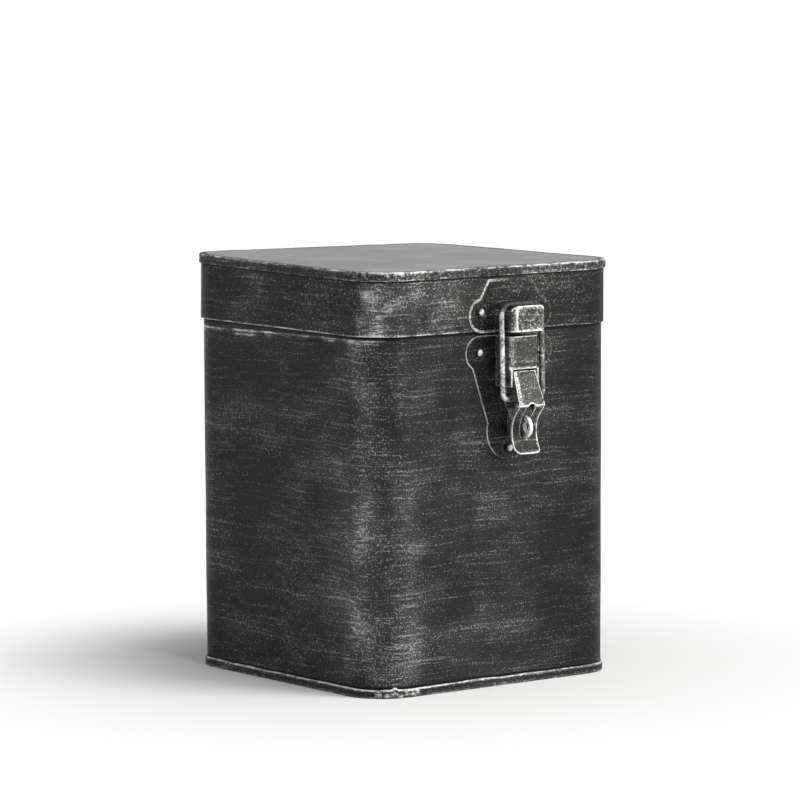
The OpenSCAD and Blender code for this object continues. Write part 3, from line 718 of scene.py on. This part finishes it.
def rivet_set(places, seat):
    """Latch rivets: a spun section of tail, shank and domed head, set at each place."""
    mesh = bmesh.new()
    wear_and_painted_light = mesh.verts.layers.float.new("wear_and_painted_light")
    for place in places:
        line = [mesh.verts.new((across, 0, up)) for across, up, wear_and_light_value in rivet_section]
        for vert, (across, up, wear_and_light_value) in zip(line, rivet_section):
            vert[wear_and_painted_light] = wear_and_light_value
        edges = [mesh.edges.new(pair) for pair in zip(line, line[1:])]
        bmesh.ops.spin(mesh, geom=line + edges, cent=(0, 0, 0), axis=(0, 0, 1), angle=radians(360),
                       steps=20, use_merge=True)
        fresh = [vert for vert in mesh.verts if not vert.tag]
        bmesh.ops.translate(mesh, vec=(place[0], place[1], seat), verts=fresh)
        for vert in fresh:
            vert.tag = True
    bmesh.ops.remove_doubles(mesh, verts=mesh.verts, dist=0.001)
    bmesh.ops.transform(mesh, matrix=latch_place, verts=mesh.verts)
    return mesh


finish_piece(rivet_set(strike_rivets, skirt_out - sheet_t), "strike_plate_rivets", "lid",
             ["strike_rivets"], [rivet_metal])
finish_piece(rivet_set(base_rivets, -sheet_t), "base_plate_rivets", "trunk_body",
             ["latch_base_rivets"], [rivet_metal])

# Pressed latch parts: the bracket and the staple on the base plate, the cup on the strike
# plate, and the lever, each bent from one millimetre sheet with soft corners.
press_paint = paint_with_wear_and_light("press_paint", (0.012, 0.0119, 0.0118), (0.82, 0.82, 0.81), flecks=0.45,
                         clouds=0.13, fineness=1.6, stretch=(0.7, 0.7, 0.9), roughness=0.4,
                         shine=0.2, edge_width=0.0006, edge_wear=1.0)
noise.seed_set(1)  # the dents are drawn from random values, so this keeps them the same each run
dent_depth = 0.09


def softened(node, name, body, width, wear_at):
    """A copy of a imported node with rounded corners, cut finely so that it can be dented and worn."""
    mesh = bmesh.new()
    mesh.from_mesh(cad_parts[node].data)
    wear_and_painted_light = mesh.verts.layers.float.new("wear_and_painted_light")
    bmesh.ops.scale(mesh, vec=(1000, 1000, 1000), verts=mesh.verts)
    bmesh.ops.remove_doubles(mesh, verts=mesh.verts, dist=0.002)
    bmesh.ops.dissolve_limit(mesh, angle_limit=radians(0.5), verts=mesh.verts, edges=mesh.edges)
    sharp = [edge for edge in mesh.edges if edge.is_manifold and edge.calc_face_angle() > radians(30)]
    bmesh.ops.bevel(mesh, geom=sharp, offset=width, segments=2, profile=0.5, affect="EDGES",
                    clamp_overlap=True, material=-1)
    bmesh.ops.transform(mesh, matrix=latch_place.inverted(), verts=mesh.verts)
    for axis in (Vector((1, 0, 0)), Vector((0, 1, 0)), Vector((0, 0, 1))):
        reach = [vert.co.dot(axis) for vert in mesh.verts]
        for step in range(int(min(reach)), int(max(reach)) + 1):
            bmesh.ops.bisect_plane(mesh, geom=mesh.verts[:] + mesh.edges[:] + mesh.faces[:],
                                   plane_co=axis * (step + 0.45), plane_no=axis)
    for vert in mesh.verts:
        vert[wear_and_painted_light] = wear_at(vert.co)
        vert.co += dent_depth * noise.noise_vector(vert.co * 0.35)
    bmesh.ops.transform(mesh, matrix=latch_place, verts=mesh.verts)
    return finish_piece(mesh, name, body, [node], [press_paint],
                        recalculate=False)


def bracket_wear(at):
    left_band = 0.35 * hump(at.x, -7.6, 0.9) * (at.z > 8)
    return 0.12 + left_band + 0.5 * hump(at.y, -17.8, 0.5) * (at.z > 11)


def cup_wear(at):
    edge_bands = 0.7 * hump(at.x, -7.8, 0.6) + 0.5 * hump(at.y, 12, 0.7) + 0.4 * hump(at.y, 0.4, 0.6)
    patch = noise.noise(Vector((at.x * 0.35, at.y * 0.35, 3)))
    return 0.06 + max(0, 0.1 + 0.3 * patch + edge_bands) * clamped((at.z - 12) / 3, 0, 1)


def lever_wear(at):
    crease_y = -35.1
    above = clamped((at.y + 36) / 3, 0, 1)
    along_face = above * (0.05 + 0.1 * clamped(1 - (at.y - crease_y) / 9, 0, 1))
    crease_line = 0.9 * hump(at.y, crease_y - 0.1, 0.55) * (at.z > 15)
    left_band = 0.7 * hump(at.x, -6.3 + 0.06 * (at.y - crease_y), 0.7) * above * (at.z > 10)
    tab_sides = 0.5 * hump(abs(at.x), 7.4, 0.4) * (at.y < -36) * (at.z > 9)
    tab_foot = 0.6 * hump(at.y, -58, 0.6)
    slot_rim = 0.2 * hump(abs(at.x), 3.1, 0.5) * hump(at.y, -46, 9) * (at.z > 10)
    return along_face + crease_line + left_band + tab_sides + tab_foot + slot_rim


def staple_wear(at):
    return 0.15 + 1.0 * clamped((at.z - 12) / 3, 0, 1)


softened("latch_bracket", "bracket_pressed", "trunk_body", 0.3, bracket_wear)
softened("catch_hook", "catch_cup", "lid", 0.3, cup_wear)
softened("latch_lever", "lever_pressed", "lever", 0.22, lever_wear)
softened("padlock_staple", "staple_blade", "trunk_body", 0.3, staple_wear)

# Bail: one length of steel wire bent into a loop that leans in against the cup, its ends turned
# in through the lever's cheeks and held by flattened shoulders. Its legs are rubbed bright, and
# the right leg is painted half as bright as the left, so the left carries a painted highlight.
wire_metal = paint_with_wear_and_light("wire_metal", (0.018, 0.0178, 0.0175), (0.85, 0.85, 0.84), flecks=0.25,
                        clouds=0.08, fineness=1.5, stretch=(0.7, 0.7, 0.7), roughness=0.36,
                        shine=0.25)
wire_r = 1.3
bail_lean = radians(1.3)
bail_foot_y = -32.1


def add_wire_half(mesh):
    """The right half of the loop, from the middle of the bar to the end of the foot."""
    bar_y = 12.7
    leg_x = 12.25
    foot_end_x = 5.8
    bar_bend_r = 5
    foot_bend_r = 3
    leg_top = bar_y - bar_bend_r
    leg_foot = bail_foot_y + foot_bend_r
    ring = bmesh.ops.create_circle(mesh, segments=20, radius=wire_r)["verts"]
    bmesh.ops.rotate(mesh, matrix=Matrix.Rotation(radians(90), 3, "Y"), verts=ring, cent=(0, 0, 0))
    bmesh.ops.translate(mesh, vec=(0, bar_y, 0), verts=ring)
    edges = mesh.edges[:]

    def straight(edges, move, steps):
        for step in range(steps):
            grown = bmesh.ops.extrude_edge_only(mesh, edges=edges)["geom"]
            fresh = [part for part in grown if isinstance(part, bmesh.types.BMVert)]
            bmesh.ops.translate(mesh, vec=Vector(move) / steps, verts=fresh)
            edges = [part for part in grown if isinstance(part, bmesh.types.BMEdge)]
        return edges

    def bend(edges, centre, steps):
        grown = bmesh.ops.spin(mesh, geom=edges, cent=centre, axis=(0, 0, 1), angle=radians(-90),
                               steps=steps)["geom_last"]
        return [part for part in grown if isinstance(part, bmesh.types.BMEdge)]

    edges = straight(edges, (leg_x - bar_bend_r, 0, 0), 6)
    edges = bend(edges, (leg_x - bar_bend_r, leg_top, 0), 10)
    edges = straight(edges, (0, leg_foot - leg_top, 0), 40)
    edges = bend(edges, (leg_x - foot_bend_r, leg_foot, 0), 8)
    edges = straight(edges, (foot_end_x - leg_x + foot_bend_r, 0, 0), 3)
    bmesh.ops.contextual_create(mesh, geom=edges)


bail_mesh = bmesh.new()
bail_wear_and_highlight = bail_mesh.verts.layers.float.new("wear_and_painted_light")
add_wire_half(bail_mesh)
bail_geometry = bail_mesh.verts[:] + bail_mesh.edges[:] + bail_mesh.faces[:]
bmesh.ops.mirror(bail_mesh, geom=bail_geometry, axis="X", merge_dist=0.01)
bmesh.ops.remove_doubles(bail_mesh, verts=bail_mesh.verts, dist=0.01)
for vert in bail_mesh.verts:
    bail_leg = clamped((abs(vert.co.x) - 7.5) / 3, 0, 1) * clamped((12 - vert.co.y) / 3, 0, 1)
    patch = noise.noise(Vector((vert.co.x * 0.3, vert.co.y * 0.35, vert.co.z * 0.5)))
    front_side = clamped(0.6 + vert.co.z / wire_r, 0, 1)
    # Painted highlight: the left leg is rubbed twice as bright as the right.
    left_leg_highlight = 1 if vert.co.x < 0 else 0.5
    vert[bail_wear_and_highlight] = (0.03 + 0.68 * bail_leg * left_leg_highlight * (0.9 + 0.35 * patch)) * front_side
shoulder_r = 1.75
for side in (-1, 1):
    shoulder = bmesh.ops.create_cone(bail_mesh, cap_ends=True, segments=20, radius1=shoulder_r,
                                     radius2=shoulder_r, depth=0.7)["verts"]
    bmesh.ops.rotate(bail_mesh, matrix=Matrix.Rotation(radians(90), 3, "Y"), verts=shoulder,
                     cent=(0, 0, 0))
    bmesh.ops.translate(bail_mesh, vec=(side * 8.45, bail_foot_y, 0), verts=shoulder)
    shoulder_edges = dict.fromkeys(edge for vert in shoulder for edge in vert.link_edges)
    rims = [edge for edge in shoulder_edges if edge.calc_face_angle() > 1]
    bmesh.ops.bevel(bail_mesh, geom=rims, offset=0.2, segments=2, profile=0.5, affect="EDGES",
                    material=-1)
bail_seat = Matrix.Translation((0, bail_foot_y, 10.7)) @ Matrix.Rotation(-bail_lean, 4, "X")
bail_seat = bail_seat @ Matrix.Translation((0, -bail_foot_y, 0))
bmesh.ops.transform(bail_mesh, matrix=latch_place @ bail_seat, verts=bail_mesh.verts)
finish_piece(bail_mesh, "bail_loop", "bail", ["wire_bail"], [wire_metal])

# Hinges at the back: two riveted butt hinges with rolled barrels. They and the lever's pin
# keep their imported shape, with the same worn paint and rubbed steel as the latch.
hinge_paint = paint_with_wear_and_light("hinge_paint", plate_black, plate_silver, flecks=0.36, clouds=0.1,
                         fineness=1.5, stretch=(0.6, 0.6, 0.9), roughness=0.45, shine=0.12,
                         edge_width=0.0005, edge_wear=0.6)


def repaint(node, material):
    """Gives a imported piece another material."""
    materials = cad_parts[node].data.materials
    materials.clear()
    materials.append(material)


for side in ("left", "right"):
    repaint(side + "_hinge_body_leaf", hinge_paint)
    repaint(side + "_hinge_lid_leaf", hinge_paint)
    repaint(side + "_hinge_pin", rivet_metal)
for node in ("hinge_body_rivets", "hinge_lid_rivets", "lever_pin"):
    repaint(node, rivet_metal)
